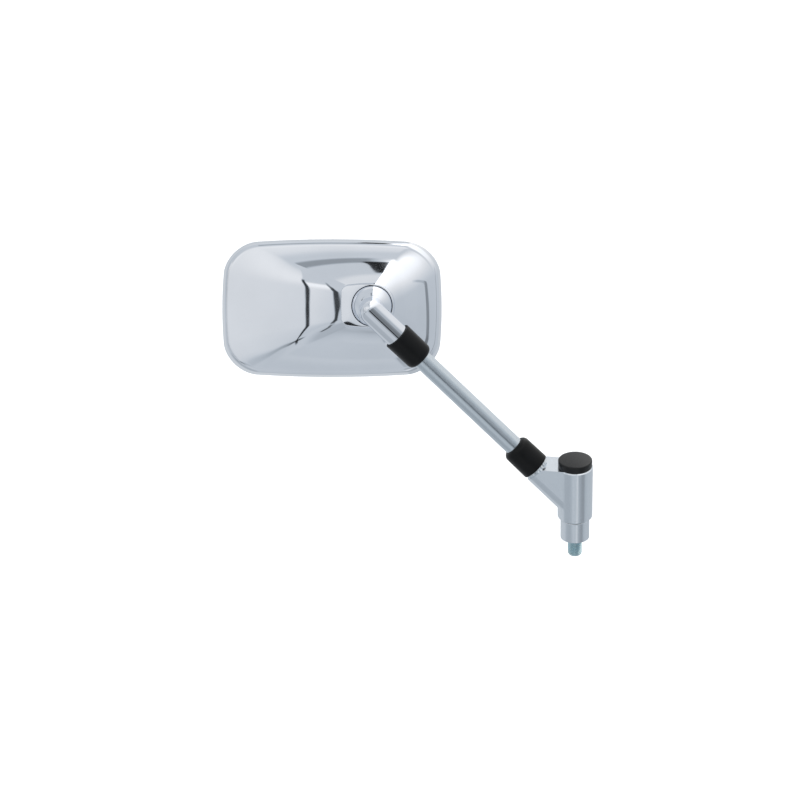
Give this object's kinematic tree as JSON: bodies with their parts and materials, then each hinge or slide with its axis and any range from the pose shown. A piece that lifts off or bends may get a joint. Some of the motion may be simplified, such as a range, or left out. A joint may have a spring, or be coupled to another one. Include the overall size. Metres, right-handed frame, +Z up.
{
  "type": "motorcycle mirror",
  "caption": "Rectangular chrome rear-view mirror on a ball joint, carried by a straight tube stem and a swivelling cast arm with a threaded mounting stud.",
  "frame": {"origin": "centre of the seat face above the mounting stud, on the swivel axis", "axes": "+Z up along the swivel axis, away from the stud; the stem leans towards -X and a little towards +Y; the glass faces +Y and downwards, the chromed back faces -Y and upwards"},
  "size_m": [0.26, 0.1119, 0.2007],
  "materials": {
    "zinc": "bright blue zinc plating on turned steel",
    "casting": "fine satin metallic finish on a casting",
    "spring_steel": "plain oiled spring steel",
    "tube_steel": "satin plated tube, polished lengthwise",
    "chrome": "bright chrome plating",
    "boot_rubber": "smooth moulded black rubber",
    "rim_rubber": "matt black rubber channel",
    "foam": "grey closed-cell foam",
    "cap_plastic": "finely grained black plastic",
    "bearing_plastic": "natural white bearing plastic",
    "mirror": "silvered convex glass"
  },
  "bodies": {
    "mount": {"mount_stud": "zinc", "pivot_adapter": "casting", "friction_washer": "bearing_plastic", "thrust_washer": "spring_steel", "disc_springs": "spring_steel", "spring_washer": "spring_steel", "pivot_nut": "zinc"},
    "arm": {"arm_casting": "casting", "arm_cap": "cap_plastic"},
    "stem": {"lower_stem_end": "zinc", "lower_lock_nut": "zinc", "lower_boot": "boot_rubber", "stem_tube": "tube_steel", "upper_stem_end": "zinc", "upper_lock_nut": "zinc", "upper_boot": "boot_rubber"},
    "elbow": {"neck": "chrome"},
    "cup": {"ball_cup": "bearing_plastic"},
    "dish": {"pressure_dish": "bearing_plastic"},
    "head": {"cup_spring": "spring_steel", "clamp_plate": "spring_steel", "clamp_screws": "zinc", "housing": "chrome", "backing_pad": "foam", "glass_rim": "rim_rubber", "mirror_glass": "mirror"}
  },
  "joints": [
    {"name": "base_swivel", "type": "hinge", "parent": "mount", "child": "arm", "pos_m": [0, 0, 0], "axis": [0, 0, 1], "continuous": true},
    {"name": "stem_turn", "type": "hinge", "parent": "arm", "child": "stem", "pos_m": [0, 0, 0.0262], "axis": [-0.7059, 0.1181, 0.6984], "range_deg": [-90, 90]},
    {"name": "neck_turn", "type": "hinge", "parent": "stem", "child": "elbow", "pos_m": [0, 0, 0.0262], "axis": [-0.7059, 0.1181, 0.6984], "range_deg": [-45, 45]},
    {"name": "head_tilt", "type": "hinge", "parent": "elbow", "child": "cup", "pos_m": [-0.14238, 0.04475, 0.16027], "axis": [1, 0, 0], "range_deg": [-8, 15]},
    {"name": "head_pan", "type": "hinge", "parent": "cup", "child": "dish", "pos_m": [-0.14238, 0.04475, 0.16027], "axis": [0, 0.5, 0.866], "range_deg": [-10, 15]},
    {"name": "head_roll", "type": "hinge", "parent": "dish", "child": "head", "pos_m": [-0.14238, 0.04475, 0.16027], "axis": [0, -0.866, 0.5], "range_deg": [-15, 15]}
  ]
}
